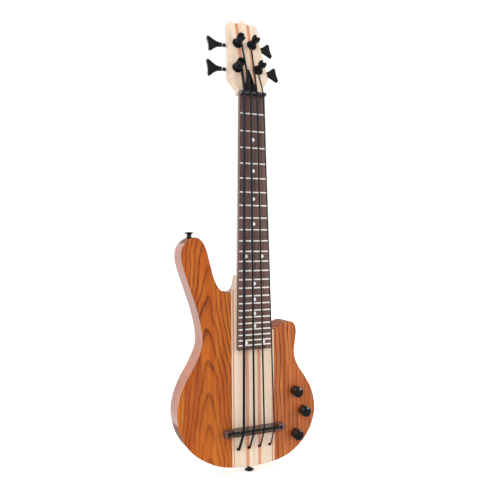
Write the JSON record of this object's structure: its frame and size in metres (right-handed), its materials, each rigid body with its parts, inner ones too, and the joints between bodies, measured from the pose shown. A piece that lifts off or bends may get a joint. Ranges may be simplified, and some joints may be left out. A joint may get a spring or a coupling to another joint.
{
  "type": "short-scale electric bass",
  "caption": "Small solid-body neck-through electric bass with a long upper horn, tilted headstock, fretted board, wooden bridge and strings through the body.",
  "frame": {"origin": "middle of the body's tail end at mid thickness, where the tail strap button seats", "axes": "+X to the treble side, +Y to the back, +Z along the neck to the headstock"},
  "size_m": [0.2395, 0.0741, 0.7457],
  "materials": {
    "maple": "satin clear lacquer",
    "mahogany": "satin clear lacquer",
    "stained_ash": "glossy stained lacquer",
    "rosewood": "oiled",
    "fret_wire": "polished nickel silver",
    "pearl": "pearloid",
    "black_gloss": "gloss",
    "black_hardware": "gloss black plating",
    "steel": "satin",
    "potentiometer": "plated",
    "string": "smooth wound nylon",
    "piezo_film": "satin",
    "circuit_board": "solder mask",
    "battery_case": "gloss",
    "wire": "smooth"
  },
  "bodies": {
    "instrument": {"neck_core_centre": "maple", "neck_stripes": "mahogany", "neck_core_bass": "maple", "neck_core_treble": "maple", "mahogany_veneers": "mahogany", "maple_veneers": "maple", "bass_wing": "stained_ash", "treble_wing": "stained_ash", "fingerboard": "rosewood", "frets": "fret_wire", "position_dots": "pearl", "nut": "black_gloss", "truss_rod": "steel", "truss_rod_cover": "black_gloss", "truss_cover_screws": "black_hardware", "bridge_base": "rosewood", "bridge_saddle": "black_gloss", "bridge_screws": "black_hardware", "piezo_pickup": "piezo_film", "string_e": "string", "string_a": "string", "string_d": "string", "string_g": "string", "string_ferrules": "black_hardware", "tuner_housings": "black_hardware", "tuner_bushings": "black_hardware", "tuner_screws": "black_hardware", "potentiometers": "potentiometer", "control_nuts": "black_hardware", "preamp_board": "circuit_board", "battery": "battery_case", "wiring": "wire", "output_jack": "steel", "control_cover": "black_gloss", "cover_screws": "black_hardware", "strap_buttons": "black_hardware", "strap_screws": "black_hardware"},
    "button_e": {"tuner_button_e": "black_hardware", "tuner_worm_e": "steel"},
    "post_e": {"tuner_post_e": "black_hardware", "wraps_e": "string"},
    "button_a": {"tuner_button_a": "black_hardware", "tuner_worm_a": "steel"},
    "post_a": {"tuner_post_a": "black_hardware", "wraps_a": "string"},
    "button_d": {"tuner_button_d": "black_hardware", "tuner_worm_d": "steel"},
    "post_d": {"tuner_post_d": "black_hardware", "wraps_d": "string"},
    "button_g": {"tuner_button_g": "black_hardware", "tuner_worm_g": "steel"},
    "post_g": {"tuner_post_g": "black_hardware", "wraps_g": "string"},
    "knob_volume": {"knob_volume": "black_gloss", "pot_shaft_volume": "steel"},
    "knob_bass": {"knob_bass": "black_gloss", "pot_shaft_bass": "steel"},
    "knob_treble": {"knob_treble": "black_gloss", "pot_shaft_treble": "steel"},
    "truss_nut": {"truss_rod_nut": "black_hardware"}
  },
  "joints": [
    {"name": "button_e_turn", "type": "hinge", "parent": "instrument", "child": "button_e", "pos_m": [-0.0185, 0.01378, 0.64605], "axis": [-1, 0, 0], "continuous": true},
    {"name": "post_e_turn", "type": "hinge", "parent": "instrument", "child": "post_e", "pos_m": [-0.0185, -0.00761, 0.6435], "axis": [0, -0.9659, 0.2588], "continuous": true},
    {"name": "button_a_turn", "type": "hinge", "parent": "instrument", "child": "button_a", "pos_m": [-0.013, 0.02581, 0.69097], "axis": [-1, 0, 0], "continuous": true},
    {"name": "post_a_turn", "type": "hinge", "parent": "instrument", "child": "post_a", "pos_m": [-0.013, 0.00442, 0.68842], "axis": [0, -0.9659, 0.2588], "continuous": true},
    {"name": "button_d_turn", "type": "hinge", "parent": "instrument", "child": "button_d", "pos_m": [0.013, 0.02581, 0.69097], "axis": [1, 0, 0], "continuous": true},
    {"name": "post_d_turn", "type": "hinge", "parent": "instrument", "child": "post_d", "pos_m": [0.013, 0.00442, 0.68842], "axis": [0, -0.9659, 0.2588], "continuous": true},
    {"name": "button_g_turn", "type": "hinge", "parent": "instrument", "child": "button_g", "pos_m": [0.0185, 0.01378, 0.64605], "axis": [1, 0, 0], "continuous": true},
    {"name": "post_g_turn", "type": "hinge", "parent": "instrument", "child": "post_g", "pos_m": [0.0185, -0.00761, 0.6435], "axis": [0, -0.9659, 0.2588], "continuous": true},
    {"name": "knob_volume_turn", "type": "hinge", "parent": "instrument", "child": "knob_volume", "pos_m": [0.0755, -0.02, 0.113], "axis": [0, -1, 0], "range_deg": [-150, 150]},
    {"name": "knob_bass_turn", "type": "hinge", "parent": "instrument", "child": "knob_bass", "pos_m": [0.09, -0.02, 0.0795], "axis": [0, -1, 0], "range_deg": [-150, 150]},
    {"name": "knob_treble_turn", "type": "hinge", "parent": "instrument", "child": "knob_treble", "pos_m": [0.0755, -0.02, 0.043], "axis": [0, -1, 0], "range_deg": [-150, 150]},
    {"name": "truss_nut_turn", "type": "hinge", "parent": "instrument", "child": "truss_nut", "pos_m": [0, -0.012, 0.607], "axis": [0, 0, 1], "range_deg": [-180, 180]}
  ],
  "couplings": [
    {"joint": "post_e_turn", "follows": "button_e_turn", "ratio": 0.05},
    {"joint": "post_a_turn", "follows": "button_a_turn", "ratio": 0.05},
    {"joint": "post_d_turn", "follows": "button_d_turn", "ratio": 0.05},
    {"joint": "post_g_turn", "follows": "button_g_turn", "ratio": 0.05}
  ]
}
